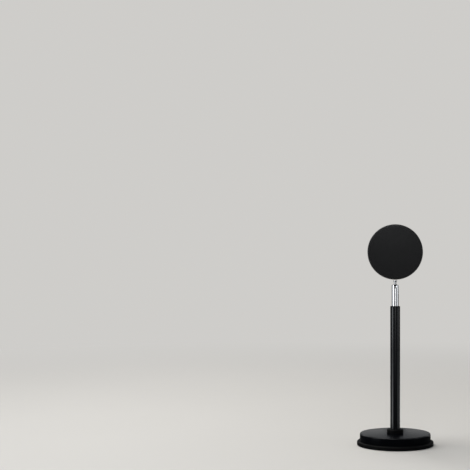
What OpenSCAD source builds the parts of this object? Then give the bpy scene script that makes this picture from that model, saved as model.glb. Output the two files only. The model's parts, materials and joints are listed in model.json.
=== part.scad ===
// Sunset projection lamp: a weighted round foot, a slim pole, a chrome ball joint whose
// mouth is slotted so that the head can lie back to 90 degrees, and a drum-shaped head
// with an LED, a condenser, a colour filter and a domed front lens.
// Millimetres. The origin is on the table under the pole, +Z is up, +Y is the beam.

/* [Foot] */
// Diameter of the metal cover
cover_d = 86; // [76:1:120]
// Height of the cover above the tray
cover_h = 10; // [8:0.5:20]
// Side wall of the cover
cover_wall = 1.6; // [1:0.1:2.4]
// Top thickness of the cover
cover_top = 2; // [1.2:0.1:3]
// Rounding of the cover's upper edge
cover_edge_r = 2; // [0.5:0.1:3]
// How far the tray stands out past the cover
tray_lip = 3.5; // [2:0.5:8]
// Height of the tray's rim
tray_h = 4.4; // [4:0.1:6]
// Thickness of the tray's floor
tray_floor = 1.8; // [1.2:0.1:2.4]
// Rounding of the tray's upper edge
tray_edge_r = 1.2; // [0.4:0.1:1.8]
// Thickness of the foot pad
pad_t = 1.2; // [0.9:0.1:2]
// How far the foot pad stands out below the tray
pad_stand = 0.6; // [0.3:0.1:0.8]
// Width of the tray's rim around the foot pad
pad_margin = 4.5; // [3:0.5:8]
// Distance of the tray screws in from the cover's locating ring
tray_screw_inset = 8.75; // [8:0.25:12]

/* [Pole] */
// Outer diameter of the pole
pole_d = 12; // [11:0.5:16]
// Wall of the pole
pole_wall = 1; // [0.8:0.1:1.4]
// Length of the pole tube
pole_len = 153; // [80:1:300]
// Diameter of the collar at the pole's foot
pole_collar_d = 20; // [18:0.5:30]
// Height of the collar
pole_collar_h = 4.4; // [2:0.2:10]
// Length of the plugs pressed into the pole's two ends
plug_len = 14; // [12:1:20]
// Thickness of the black cap on the pole's top
pole_cap_t = 1; // [0.6:0.1:3]

/* [Ball joint] */
// Outer diameter of the chrome socket
socket_d = 8.4; // [8.2:0.1:11]
// Length of the chrome socket
socket_len = 25.7; // [22:0.1:40]
// Diameter of the ball
ball_d = 6.8; // [6.4:0.1:7]
// Depth of the ball's centre below the socket's mouth
ball_drop = 2.2; // [1.8:0.1:2.6]
// How much the mouth's radius is smaller than the ball's
lip_bite = 0.2; // [0.1:0.05:0.3]
// Diameter of the thin neck next to the ball
neck_d = 3; // [2.4:0.1:3.2]
// Diameter of the threaded stud above the neck
stud_d = 4; // [3.5:0.1:4.6]
// Ball centre to the underside of the head
stud_reach = 9.9; // [9:0.1:14]
// Largest diameter of the flare under the head
flare_d = 6.2; // [5.4:0.1:8]
// Height of the flare's cone
flare_h = 1.8; // [1:0.1:2.4]

/* [Head shell] */
// Diameter of the head
head_d = 66; // [64:0.5:80]
// Stud to the rear face
rear_overhang = 36; // [36:0.5:44]
// Depth of the rear cap
cap_depth = 10; // [9:0.5:10]
// Thickness of the rear cap's plate
cap_plate = 2.5; // [1.5:0.1:3]
// Rounding of the head's two outer edges
head_edge_r = 1.5; // [0.5:0.1:2.5]
// Length of the barrel
barrel_len = 54; // [54:0.5:66]
// Wall of the barrel's front part
barrel_wall = 3; // [2.4:0.1:3.4]
// Step in the bore that the heat sink seats on
barrel_step = 1; // [0.8:0.1:1.4]
// Number of cooling grooves round the barrel
groove_count = 4; // [0:1:6]
// Width of a cooling groove
groove_w = 1.2; // [0.8:0.1:1.6]
// Depth of a cooling groove
groove_depth = 0.9; // [0.4:0.1:1.2]
// Centre distance of the cooling grooves
groove_pitch = 3; // [2.4:0.1:4]
// Length of the front bezel
bezel_len = 8; // [7:0.5:14]

/* [Optics] */
// Diameter of the domed front lens
lens_d = 54; // [50:0.5:55]
// Thickness of the front lens's rim
lens_rim_t = 3; // [2:0.1:4]
// Height of the front lens's dome
lens_dome_h = 5.6; // [4:0.1:8]
// Width of the flat rim round each dome
lens_rim_w = 3; // [2.6:0.1:4]
// Diameter of the condenser lens
condenser_d = 28; // [26:0.5:29]
// Height of the condenser's dome
condenser_dome_h = 5.5; // [4:0.1:6]
// Hole of the ring that gives the light its sharp edge
aperture_d = 18; // [10:0.5:20]
// Thickness of the colour filter
filter_t = 1.5; // [1:0.1:2]
// Diameter of the LED's board
led_board_d = 30; // [29:0.5:32]

/* [Heat sink and electronics] */
// Thickness of the heat sink's plate
sink_t = 4; // [3.6:0.1:5]
// Height of the heat sink's fins
fin_h = 4; // [2:0.1:4.4]
// Thickness of a fin
fin_t = 1.2; // [0.8:0.1:1.4]
// Centre distance of the fins
fin_pitch = 4.5; // [4:0.1:6]
// Diameter of the driver board
driver_d = 44; // [40:1:50]
// Radius of the circle of driver screws
driver_screw_pcr = 18; // [16.5:0.5:18.5]
// Bore of the cable gland, for a 3.5 mm lead
gland_bore_d = 3.6; // [2.5:0.1:4.4]
// Stud to the cable gland
gland_y = 12; // [11:0.5:13]

/* [Hidden] */
$fn = 96;

// Clearances, as radii
fit = 0.05;          // between pieces that seat in each other
loose = 0.3;         // round a piece that only has to pass
turn_gap = 0.05;     // end gap between faces that turn on each other
cut = 1;             // how far a cutter runs past the face it opens
edge = 0.4;          // small broken edge

// Colours
paint_black = [0.11, 0.11, 0.12];
plastic_black = [0.08, 0.08, 0.08];
rubber_black = [0.05, 0.05, 0.05];
iron_grey = [0.3, 0.3, 0.31];
steel = [0.66, 0.67, 0.68];
chrome = [0.86, 0.87, 0.88];
alloy = [0.75, 0.76, 0.78];
brass = [0.78, 0.64, 0.32];

// Standard fasteners: radius of the shank, of the head, height of the head
m2_r = 0.95;
m2_head_r = 1.9;
m2_head_h = 1.3;
m3_r = 1.5;
m3_head_r = 2.75;
m3_head_h = 1.8;
m6_r = 3;
m6_head_r = 5.25;
m6_head_h = 3.3;
m6_washer_r = 9;
m6_washer_t = 1.2;
m6_key = 4;          // across the flats of the bolt's hexagon socket
m4_washer_r = 5;
m4_washer_t = 0.8;
m4_nut_af = 7;       // across the flats
m4_nut_h = 3.2;
spigot_stud_r = 2.5; // M5 thread between the spigot and the pole

// Heights of the foot
tray_z = pad_t - pad_stand;
tray_r = cover_d / 2 + tray_lip;
pad_r = tray_r - pad_margin;
floor_z = pad_t + tray_floor;
rim_z = tray_z + tray_h;
foot_top_z = rim_z + cover_h;
cover_in_z = foot_top_z - cover_top;
cover_in_r = cover_d / 2 - cover_wall;
ring_h = 2.5;        // locating ring inside the cover
ring_t = 1.6;
ring_in_r = cover_in_r - fit - ring_t;
tray_screw_pcr = ring_in_r - tray_screw_inset;
head_gap = 0.2;      // screw heads stay this far above the pad
bolt_head_z = pad_t + head_gap;
washer_z = bolt_head_z + m6_head_h;
recess_z = washer_z + m6_washer_t;
recess_r = m6_washer_r + loose;
boss_r = recess_r + tray_floor;
boss_z = recess_z + tray_floor;
cover_boss_r = 8;
bolt_hole_r = m6_r + loose;
pillar_r = 4;
screw_boss_r = 3.5;
screw_head_z = pad_t + head_gap;
screw_len = 6.8;
weight_gap = 0.3;

// Heights of the pole and the joint
pole_r = pole_d / 2;
pole_in_r = pole_r - pole_wall;
plug_r = pole_in_r - fit;
pole_top_z = foot_top_z + pole_len;
spigot_z = pole_top_z + pole_cap_t;
socket_z = spigot_z + 2 * turn_gap;
socket_top_z = socket_z + socket_len;
ball_z = socket_top_z - ball_drop;
ball_r = ball_d / 2;
ball_cup_r = ball_r + fit;
bore_r = ball_r + 2 * fit;
lip_r = ball_r - lip_bite;
lip_angle = acos(lip_r / ball_cup_r);
slot_r = neck_d / 2 + loose;
seat_drop = 2;       // ball's centre to the seat's rim
seat_h = 3.5;
seat_top_z = ball_z - seat_drop;
spring_t = 0.4;
spring_rise = 0.35;
spring_count = 4;
spring_gap = 0.03;
spring_in_r = 1.6;
spring_out_r = bore_r - 0.2;
spring_pitch = spring_t + spring_rise + spring_gap;
spring_stack = spring_count * spring_pitch;
spigot_top_z = seat_top_z - seat_h - spring_stack - turn_gap;
thread_spare = 2;    // plug left over past the end of a thread
spigot_stud_len = plug_len - thread_spare;
bolt_len = foot_top_z + plug_len - washer_z - thread_spare;
neck_spare = 0.6;    // thin neck left over past the socket's wall
neck_end = socket_d / 2 + neck_spare;
flare_land = 0.5;    // straight rim above the flare's cone

// The head, whose axis lies along Y at head_z
head_r = head_d / 2;
underside_z = ball_z + stud_reach;
head_z = underside_z + head_r;
rear_y = -rear_overhang;
barrel_y = rear_y + cap_depth;
bezel_y = barrel_y + barrel_len;
front_y = bezel_y + bezel_len;
barrel_in_r = head_r - barrel_wall;
rear_bore_r = barrel_in_r + barrel_step;
spigot_depth = 5;    // how far the cap and the bezel reach into the barrel
cap_spigot_t = 2;
sink_back_y = barrel_y + spigot_depth;
sink_y = sink_back_y + sink_t;
seam = 0.3;          // chamfers that show as a fine line where the shells meet
groove_y = barrel_y + 4;
pad_top = 5;         // flat seats inside the barrel, above its underside
stud_pad_r = 7;
gland_pad_r = 6.5;
stud_face = 0.3;     // flat seats milled outside into the underside
gland_face = 0.5;
stud_spare = 1.3;    // stud left over past its nut
stud_top_z = underside_z + pad_top + m4_washer_t + m4_nut_h + stud_spare;

// Electronics behind the heat sink
standoff_h = 1.5;
standoff_r = 2.5;
driver_t = 1.6;
driver_y = rear_y + cap_plate + standoff_h;
driver_face_y = driver_y + driver_t;
coil_r = 5;
coil_bore_r = 2.2;
coil_h = 3.6;
coil_floor = 1;
coil_x = 9;
capacitor_r = 3.2;
capacitor_h = 4;
chip_size = [5, 4, 1.4];
resistor_size = [1.6, 3.2, 0.6];
resistor_x = [6, 10];
parts_up = 6;        // chip and resistors stand this far below the board's centre
lead_r = 0.6;
lead_up = led_board_d / 2 - 4; // the leads pass above the axis, between two fins
lead_x = fin_pitch / 2;
solder_r = 1.1;
solder_h = 0.4;

// Optical train in front of the heat sink
led_board_t = 1.6;
led_face_y = sink_y + led_board_t;
led_size = 12;
led_t = 0.8;
phosphor_r = 4.5;
phosphor_t = 0.5;
led_screw_x = led_board_d / 2 - 3.5;
sink_thread = 3.4;   // depth of the threaded holes in the heat sink
screw_bite = 3;      // screw thread in the heat sink
holder_foot_r = led_board_d / 2 + 0.4;
holder_foot_h = 5;
holder_flange_t = 2.5;
holder_screw_pcr = holder_foot_r + 6.1;
holder_flange_r = holder_screw_pcr + 4.5;
condenser_r = condenser_d / 2;
condenser_rim_t = 2;
condenser_rim_w = 1;
condenser_gap = 8;   // heat sink's face to the condenser's flat side
condenser_y = sink_y + condenser_gap;
holder_bore_r = condenser_r + fit;
holder_wall = 2.95;
holder_foot_t = 1.6; // least wall round the LED's board
holder_spare = 0.5;  // tube left over past the filter's retainer
stop_r = condenser_r - 1.5;
dome_gap = 0.5;      // air between the condenser's dome and the ring
aperture_y = condenser_y + condenser_rim_t;
aperture_plate_y = aperture_y + condenser_dome_h + dome_gap;
aperture_plate_t = 1.5;
filter_y = aperture_plate_y + aperture_plate_t;
retainer_y = filter_y + filter_t;
retainer_t = 2;
retainer_bore_r = condenser_r - 3;
holder_end_y = retainer_y + retainer_t + holder_spare;

// Front lens in its bezel
lens_r = lens_d / 2;
lens_bore_r = lens_r + fit;
bezel_lip_t = 1.8;
window_bevel = 1;    // bevel round the window
window_r = lens_r - lens_rim_w + 0.5;
gasket_t = 0.8;
gasket_y = front_y - bezel_lip_t - gasket_t;
lens_y = gasket_y - lens_rim_t;
lens_ring_t = 3;
notch_w = 2;         // spanner notches of the threaded rings
ring_spare = 1;      // thread left over behind the lens's ring
bezel_spigot_y = min(bezel_y - spigot_depth - 1, lens_y - lens_ring_t - ring_spare);

// Cable gland
gland_neck_r = 3.5;
gland_flange_r = 4.8;
gland_flange_t = 1.5;
gland_in_r = 4.4;
gland_in_t = 1.2;

// Points of an arc about centre, from angle a0 to a1
function arc(centre, r, a0, a1, steps = 8) =
    [for (i = [0:steps]) centre + r * [cos(a0 + (a1 - a0) * i / steps), sin(a0 + (a1 - a0) * i / steps)]];

// Radius of the sphere whose cap of base radius r is h high
function cap_sphere_r(r, h) = (r * r + h * h) / (2 * h);

// A solid turned about Z from a profile of [radius, height] points
module turned(points) {
    rotate_extrude() polygon(points);
}

// A ring about Z
module ring(outer_r, inner_r, z, h) {
    turned([[inner_r, z], [outer_r, z], [outer_r, z + h], [inner_r, z + h]]);
}

// Turns what is drawn about Z to the head's axis, with height along +Y and Y along -Z
module on_beam() {
    translate([0, 0, head_z]) rotate([-90, 0, 0]) children();
}

// Copies of the children, evenly round the Z axis
module round_z(count, start = 90) {
    for (i = [0:count - 1]) rotate([0, 0, start + i * 360 / count]) children();
}

// A pan head screw along +Z with its head's underside at z = 0 and its head below
module pan_screw(r, head_r, head_h, len) {
    difference() {
        union() {
            translate([0, 0, -head_h]) cylinder(r = head_r, h = head_h);
            cylinder(r = r, h = len);
        }
        // cross recess
        for (a = [0, 90]) rotate([0, 0, a])
            translate([-head_r * 0.6, -head_r * 0.12, -head_h - cut])
                cube([head_r * 1.2, head_r * 0.24, cut + head_h * 0.5]);
    }
}

// Plano-convex glass with a flat rim, flat side at z = 0
module domed_lens(r, rim_w, rim_t, dome_h) {
    dome_r = r - rim_w;
    ball = cap_sphere_r(dome_r, dome_h);
    cylinder(r = r, h = rim_t);
    intersection() {
        translate([0, 0, rim_t + dome_h - ball]) sphere(r = ball);
        translate([0, 0, rim_t / 2]) cylinder(r = dome_r, h = rim_t + dome_h);
    }
}

// A threaded ring with two spanner notches in its front face
module slotted_ring(outer_r, inner_r, z, h) {
    difference() {
        ring(outer_r, inner_r, z, h);
        translate([-outer_r - cut, -notch_w / 2, z + h / 2])
            cube([2 * (outer_r + cut), notch_w, h]);
    }
}

// Soft pad glued into the tray, which it hides the screws of
module foot_pad() {
    color(rubber_black)
        turned([[0, 0], [pad_r - edge, 0], [pad_r, edge], [pad_r, pad_t], [0, pad_t]]);
}

// Moulded tray: recess for the pad, rim with a rounded edge, locating ring for the cover,
// centre boss over the bolt's head and three screw pillars
module base_tray() {
    color(plastic_black) difference() {
        union() {
            turned(concat(
                [[bolt_hole_r, recess_z], [recess_r, recess_z], [recess_r, pad_t],
                 [pad_r + loose, pad_t], [pad_r + loose, tray_z],
                 [tray_r - edge, tray_z], [tray_r, tray_z + edge]],
                arc([tray_r - tray_edge_r, rim_z - tray_edge_r], tray_edge_r, 0, 90),
                [[cover_in_r - fit, rim_z], [cover_in_r - fit, rim_z + ring_h],
                 [ring_in_r, rim_z + ring_h], [ring_in_r, floor_z],
                 [boss_r, floor_z], [boss_r, boss_z], [bolt_hole_r, boss_z]]));
            round_z(3) translate([tray_screw_pcr, 0, floor_z - tray_floor / 2])
                cylinder(r = pillar_r, h = rim_z - floor_z + tray_floor / 2);
        }
        round_z(3) translate([tray_screw_pcr, 0, 0]) {
            cylinder(r = m3_head_r + loose, h = screw_head_z + m3_head_h);
            cylinder(r = m3_r + loose / 2, h = rim_z + cut);
        }
    }
}

// Cast iron ring that keeps the lamp upright, lying on the tray's floor
module counterweight() {
    outer = ring_in_r - loose;
    inner = boss_r + loose;
    top = cover_in_z - weight_gap;
    color(iron_grey) difference() {
        turned([[inner, floor_z], [outer - edge, floor_z], [outer, floor_z + edge],
                [outer, top - edge], [outer - edge, top], [inner, top]]);
        round_z(3) translate([tray_screw_pcr, 0, floor_z - cut])
            cylinder(r = pillar_r + loose, h = top - floor_z + 2 * cut);
    }
}

// Pressed cover with a rounded shoulder, a centre boss on the tray's and screw bosses
module base_cover() {
    color(paint_black) difference() {
        union() {
            turned(concat(
                [[bolt_hole_r, boss_z], [cover_boss_r, boss_z], [cover_boss_r, cover_in_z],
                 [cover_in_r, cover_in_z], [cover_in_r, rim_z], [cover_d / 2, rim_z]],
                arc([cover_d / 2 - cover_edge_r, foot_top_z - cover_edge_r], cover_edge_r, 0, 90),
                [[bolt_hole_r, foot_top_z]]));
            round_z(3) translate([tray_screw_pcr, 0, rim_z])
                cylinder(r = screw_boss_r, h = cover_in_z - rim_z + cover_top / 2);
        }
        round_z(3) translate([tray_screw_pcr, 0, rim_z - cut])
            cylinder(r = m3_r + fit, h = cut + screw_len - (rim_z - screw_head_z - m3_head_h) + edge);
    }
}

// Three screws that hold the tray to the cover
module tray_screws() {
    color(steel) round_z(3) translate([tray_screw_pcr, 0, screw_head_z + m3_head_h])
        pan_screw(m3_r, m3_head_r, m3_head_h, screw_len);
}

// Bolt from under the tray into the pole's foot
module pole_bolt() {
    color(steel) difference() {
        union() {
            translate([0, 0, bolt_head_z]) cylinder(r = m6_head_r, h = m6_head_h);
            translate([0, 0, washer_z]) cylinder(r = m6_r, h = bolt_len);
        }
        translate([0, 0, bolt_head_z - cut])
            cylinder(d = m6_key / cos(30), h = cut + m6_head_h * 0.6, $fn = 6);
    }
}

module bolt_washer() {
    color(steel) ring(m6_washer_r, m6_r + 0.2, washer_z, m6_washer_t);
}

// Threaded plug in the pole's lower end
module pole_foot_plug() {
    color(brass) turned([
        [m6_r + fit, foot_top_z], [plug_r - edge, foot_top_z], [plug_r, foot_top_z + edge],
        [plug_r, foot_top_z + plug_len], [m6_r + fit, foot_top_z + plug_len]]);
}

module pole_tube() {
    color(paint_black) ring(pole_r, pole_in_r, foot_top_z, pole_len);
}

// Collar that hides the pole's foot, with a rounded upper edge
module pole_collar() {
    round_r = min(1, pole_collar_h / 3);
    top = foot_top_z + pole_collar_h;
    color(paint_black) turned(concat(
        [[pole_r + fit, foot_top_z], [pole_collar_d / 2, foot_top_z]],
        arc([pole_collar_d / 2 - round_r, top - round_r], round_r, 0, 90),
        [[pole_r + fit, top]]));
}

// Cap and threaded plug in the pole's upper end
module pole_top_cap() {
    color(plastic_black) turned([
        [spigot_stud_r + fit, pole_top_z - plug_len], [plug_r, pole_top_z - plug_len],
        [plug_r, pole_top_z], [pole_r, pole_top_z], [pole_r, spigot_z - edge],
        [pole_r - edge, spigot_z], [spigot_stud_r + fit, spigot_z]]);
}

// Threaded spigot that the socket is screwed down and turned on
module socket_spigot() {
    color(steel) turned([
        [0, spigot_z - spigot_stud_len], [spigot_stud_r, spigot_z - spigot_stud_len],
        [spigot_stud_r, spigot_z], [bore_r - fit, spigot_z],
        [bore_r - fit, spigot_top_z - edge], [bore_r - fit - edge, spigot_top_z],
        [0, spigot_top_z]]);
}

// Chrome socket: a plain bore, a mouth drawn in over the ball, and a slot towards -Y
// as deep as the ball's centre, so that the neck can lie down in it
module ball_socket() {
    r = socket_d / 2;
    color(chrome) difference() {
        turned(concat(
            [[bore_r, socket_z], [r - seam, socket_z], [r, socket_z + seam],
             [r, socket_top_z - seam], [r - seam, socket_top_z],
             [lip_r + seam, socket_top_z]],
            arc([0, ball_z], ball_cup_r, lip_angle, lip_angle / 4, 5),
            [[bore_r, ball_z]]));
        translate([0, 0, ball_z]) rotate([90, 0, 0]) linear_extrude(r + cut) {
            circle(r = slot_r);
            translate([-slot_r, 0]) square([2 * slot_r, ball_drop + cut]);
        }
    }
}

// Conical spring washers, stacked nose to nose, that press the seat against the ball
module disc_springs() {
    color(steel) for (i = [0:spring_count - 1])
        let (z = spigot_top_z + turn_gap + i * spring_pitch,
             up = i % 2 == 0 ? spring_rise : 0,
             down = spring_rise - up)
            turned([[spring_in_r, z + up], [spring_out_r, z + down],
                    [spring_out_r, z + down + spring_t], [spring_in_r, z + up + spring_t]]);
}

// Nylon seat with a cup for the ball
module ball_seat() {
    color("ivory") difference() {
        translate([0, 0, seat_top_z - seat_h]) cylinder(r = bore_r - fit, h = seat_h);
        translate([0, 0, ball_z]) sphere(r = ball_cup_r);
    }
}

// Ball, thin neck, flared collar under the head and threaded stud, turned in one piece
module ball_stud() {
    flare_top = stud_reach + stud_face - turn_gap;
    color(chrome) translate([0, 0, ball_z]) {
        sphere(r = ball_r);
        turned([
            [0, 0], [neck_d / 2, 0], [neck_d / 2, neck_end],
            [stud_d / 2, neck_end + (stud_d - neck_d) / 2],
            [stud_d / 2, flare_top - flare_land - flare_h],
            [flare_d / 2, flare_top - flare_land], [flare_d / 2, flare_top],
            [stud_d / 2, flare_top], [stud_d / 2, stud_top_z - ball_z - edge],
            [stud_d / 2 - edge, stud_top_z - ball_z], [0, stud_top_z - ball_z]]);
    }
}

module stud_washer() {
    color(steel)
        ring(m4_washer_r, stud_d / 2 + fit, underside_z + pad_top + turn_gap, m4_washer_t);
}

// Nut that holds the stud in the head
module stud_nut() {
    color(steel) translate([0, 0, underside_z + pad_top + turn_gap + m4_washer_t])
        difference() {
            cylinder(d = m4_nut_af / cos(30), h = m4_nut_h, $fn = 6);
            translate([0, 0, -cut]) cylinder(r = stud_d / 2 + fit, h = m4_nut_h + 2 * cut);
        }
}

// Barrel: stepped bore, cooling grooves, and flat seats for the stud and the gland
module head_barrel() {
    color(paint_black) difference() {
        union() {
            on_beam() barrel_shell();
            intersection() {
                seat_pad();
                on_beam() ring(head_r - barrel_wall / 2, 1, barrel_y, barrel_len);
            }
        }
        // seats outside
        translate([0, 0, underside_z - cut]) cylinder(r = flare_d / 2 + 1, h = cut + stud_face);
        translate([0, gland_y, underside_z - cut])
            cylinder(r = gland_flange_r + edge, h = cut + gland_face);
        // holes
        translate([0, 0, underside_z - cut]) cylinder(r = stud_d / 2 + fit, h = pad_top + 2 * cut);
        translate([0, gland_y, underside_z - cut])
            cylinder(r = gland_neck_r + fit, h = pad_top + 2 * cut);
    }
}

module barrel_shell() {
    grooves = [for (i = [0:1:groove_count - 1]) groove_y + i * groove_pitch];
    turned(concat(
        [[rear_bore_r, barrel_y], [head_r - seam, barrel_y], [head_r, barrel_y + seam]],
        [for (y = grooves, p = [[0, 0], [groove_depth, 0], [groove_depth, groove_w], [0, groove_w]])
            [head_r - p[0], y + p[1]]],
        [[head_r, bezel_y - seam], [head_r - seam, bezel_y], [barrel_in_r, bezel_y],
         [barrel_in_r, sink_y], [rear_bore_r, sink_y]]));
}

// Flat-topped pad along the barrel's bottom that carries the stud and the gland
module seat_pad() {
    for (seat = [[0, stud_pad_r], [gland_y, gland_pad_r]])
        translate([0, seat[0], underside_z]) cylinder(r = seat[1], h = pad_top);
    translate([-gland_pad_r, 0, underside_z]) cube([2 * gland_pad_r, gland_y, pad_top]);
}

// Plain rear cap, screwed into the barrel; its rim clamps the heat sink
module rear_cap() {
    bore = rear_bore_r - fit - cap_spigot_t;
    plate_y = rear_y + cap_plate;
    color(paint_black) on_beam() difference() {
        union() {
            turned(concat(
                [[0, rear_y]],
                arc([head_r - head_edge_r, rear_y + head_edge_r], head_edge_r, -90, 0),
                [[head_r, barrel_y - seam], [head_r - seam, barrel_y],
                 [rear_bore_r - fit, barrel_y], [rear_bore_r - fit, sink_back_y],
                 [bore, sink_back_y], [bore, plate_y], [0, plate_y]]));
            round_z(3) translate([driver_screw_pcr, 0, plate_y - cap_plate / 2])
                cylinder(r = standoff_r, h = cap_plate / 2 + standoff_h);
        }
        round_z(3) translate([driver_screw_pcr, 0, driver_y - standoff_h])
            cylinder(r = m2_r + fit, h = standoff_h + cut);
    }
}

// Round circuit board on three standoffs behind the heat sink
module driver_board() {
    color("darkgreen") on_beam() difference() {
        translate([0, 0, driver_y]) cylinder(d = driver_d, h = driver_t);
        round_z(3) translate([driver_screw_pcr, 0, driver_y - cut])
            cylinder(r = m2_r + loose / 2, h = driver_t + 2 * cut);
    }
}

// Coil, capacitor, driver chip and two resistors on the board
module driver_parts() {
    color("dimgray") on_beam() translate([0, 0, driver_face_y]) {
        translate([-coil_x, 0, 0]) difference() {
            cylinder(r = coil_r, h = coil_h);
            translate([0, 0, coil_floor]) cylinder(r = coil_bore_r, h = coil_h);
        }
        translate([coil_x, -capacitor_r, 0]) cylinder(r = capacitor_r, h = capacitor_h);
        translate([-chip_size[0] / 2, parts_up, 0]) cube(chip_size);
        for (x = resistor_x) translate([x, parts_up, 0]) cube(resistor_size);
    }
}

module driver_screws() {
    color(steel) on_beam() round_z(3) translate([driver_screw_pcr, 0, driver_face_y])
        rotate([180, 0, 0]) pan_screw(m2_r, m2_head_r, m2_head_h, driver_t + standoff_h - edge / 2);
}

// Heat sink: a plate on the barrel's step with straight fins behind and threaded holes
module heat_sink() {
    fin_r = rear_bore_r - cap_spigot_t - 1.5;
    fin_side = floor((fin_r - fin_t) / fin_pitch);
    color(alloy) on_beam() difference() {
        union() {
            translate([0, 0, sink_back_y]) cylinder(r = rear_bore_r - fit, h = sink_t);
            translate([0, 0, sink_back_y - fin_h]) linear_extrude(fin_h + sink_t / 2)
                intersection() {
                    circle(r = fin_r);
                    for (i = [-fin_side:fin_side])
                        translate([i * fin_pitch - fin_t / 2, -fin_r]) square([fin_t, 2 * fin_r]);
                }
        }
        // notch for the supply lead at the bottom
        translate([0, rear_bore_r, sink_back_y - fin_h - cut])
            cylinder(r = gland_neck_r, h = fin_h + sink_t + 2 * cut);
        for (side = [-1, 1]) {
            translate([side * lead_x, -lead_up, sink_back_y - cut])
                cylinder(r = lead_r + loose, h = sink_t + 2 * cut);
            translate([side * led_screw_x, 0, sink_y - sink_thread])
                cylinder(r = m2_r + fit, h = sink_thread + cut);
        }
        round_z(3) translate([holder_screw_pcr, 0, sink_y - sink_thread])
            cylinder(r = m2_r + fit, h = sink_thread + cut);
    }
}

// Metal-core board that the LED is soldered to
module led_board() {
    color("white") on_beam() difference() {
        translate([0, 0, sink_y]) cylinder(d = led_board_d, h = led_board_t);
        for (side = [-1, 1]) {
            translate([side * lead_x, -lead_up, sink_y - cut])
                cylinder(r = lead_r + fit, h = led_board_t + 2 * cut);
            translate([side * led_screw_x, 0, sink_y - cut])
                cylinder(r = m2_r + fit, h = led_board_t + 2 * cut);
        }
    }
}

// Square LED with its round phosphor
module led_chip() {
    color("gold") on_beam() translate([0, 0, led_face_y]) {
        translate([-led_size / 2, -led_size / 2, 0]) cube([led_size, led_size, led_t]);
        cylinder(r = phosphor_r, h = led_t + phosphor_t);
    }
}

module led_screws() {
    color(steel) on_beam() for (side = [-1, 1])
        translate([side * led_screw_x, 0, led_face_y]) rotate([180, 0, 0])
            pan_screw(m2_r, m2_head_r, m2_head_h, led_board_t + screw_bite);
}

// Two insulated leads from the driver board through the heat sink to the LED's board
module led_leads() {
    color("firebrick") on_beam() for (side = [-1, 1])
        translate([side * lead_x, -lead_up, 0]) {
            translate([0, 0, driver_face_y]) cylinder(r = solder_r, h = solder_h);
            translate([0, 0, driver_face_y])
                cylinder(r = lead_r, h = led_face_y + solder_h - driver_face_y);
            translate([0, 0, led_face_y]) cylinder(r = solder_r, h = solder_h);
        }
}

// Black tube over the LED that carries the condenser, the ring and the filter
module lens_holder() {
    outer = max(holder_bore_r + holder_wall, holder_foot_r + holder_foot_t);
    foot_y = sink_y + holder_foot_h;
    color(plastic_black) on_beam() difference() {
        turned([
            [holder_foot_r, sink_y], [holder_flange_r, sink_y],
            [holder_flange_r, sink_y + holder_flange_t], [outer, sink_y + holder_flange_t],
            [outer, holder_end_y - edge], [outer - edge, holder_end_y],
            [holder_bore_r, holder_end_y], [holder_bore_r, condenser_y],
            [stop_r, condenser_y], [stop_r, foot_y], [holder_foot_r, foot_y]]);
        round_z(3) translate([holder_screw_pcr, 0, sink_y - cut])
            cylinder(r = m2_r + fit, h = holder_flange_t + 2 * cut);
    }
}

module holder_screws() {
    color(steel) on_beam() round_z(3)
        translate([holder_screw_pcr, 0, sink_y + holder_flange_t]) rotate([180, 0, 0])
            pan_screw(m2_r, m2_head_r, m2_head_h, holder_flange_t + screw_bite);
}

module condenser_lens() {
    color("lightcyan", 0.5) on_beam() translate([0, 0, condenser_y])
        domed_lens(condenser_r, condenser_rim_w, condenser_rim_t, condenser_dome_h);
}

// Spacer tube and round stop, whose hole gives the light its sharp edge
module aperture_ring() {
    inner = condenser_r - condenser_rim_w + 0.1;
    color(plastic_black) on_beam() turned([
        [inner, aperture_y], [condenser_r, aperture_y], [condenser_r, filter_y],
        [aperture_d / 2, filter_y], [aperture_d / 2, aperture_plate_y],
        [inner, aperture_plate_y]]);
}

module colour_filter() {
    color("orangered") on_beam() translate([0, 0, filter_y])
        cylinder(r = condenser_r, h = filter_t);
}

module filter_retainer() {
    color(plastic_black) on_beam()
        slotted_ring(condenser_r, retainer_bore_r, retainer_y, retainer_t);
}

// Front ring: rounded edge, bevelled window, seat for the lens, spigot into the barrel
module front_bezel() {
    color(paint_black) on_beam() turned(concat(
        [[lens_bore_r, bezel_spigot_y], [barrel_in_r - fit, bezel_spigot_y],
         [barrel_in_r - fit, bezel_y], [head_r - seam, bezel_y], [head_r, bezel_y + seam]],
        arc([head_r - head_edge_r, front_y - head_edge_r], head_edge_r, 0, 90),
        [[window_r + window_bevel, front_y], [window_r, front_y - window_bevel],
         [window_r, gasket_y + gasket_t],
         [lens_bore_r, gasket_y + gasket_t]]));
}

module lens_gasket() {
    color(rubber_black) on_beam() ring(lens_r, window_r, gasket_y, gasket_t);
}

module front_lens() {
    color("lightcyan", 0.5) on_beam() translate([0, 0, lens_y])
        domed_lens(lens_r, lens_rim_w, lens_rim_t, lens_dome_h);
}

module lens_retainer() {
    color(plastic_black) on_beam()
        slotted_ring(lens_r, window_r, lens_y - lens_ring_t, lens_ring_t);
}

// Rubber gland for the supply lead, snapped into the barrel's underside
module cable_gland() {
    bore = gland_bore_d / 2;
    out_z = gland_face - gland_flange_t;
    color(rubber_black) translate([0, gland_y, underside_z]) turned([
        [bore, out_z], [gland_flange_r - edge, out_z], [gland_flange_r, out_z + edge],
        [gland_flange_r, gland_face], [gland_neck_r, gland_face], [gland_neck_r, pad_top],
        [gland_in_r, pad_top], [gland_in_r - edge, pad_top + gland_in_t],
        [bore, pad_top + gland_in_t]]);
}

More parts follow.
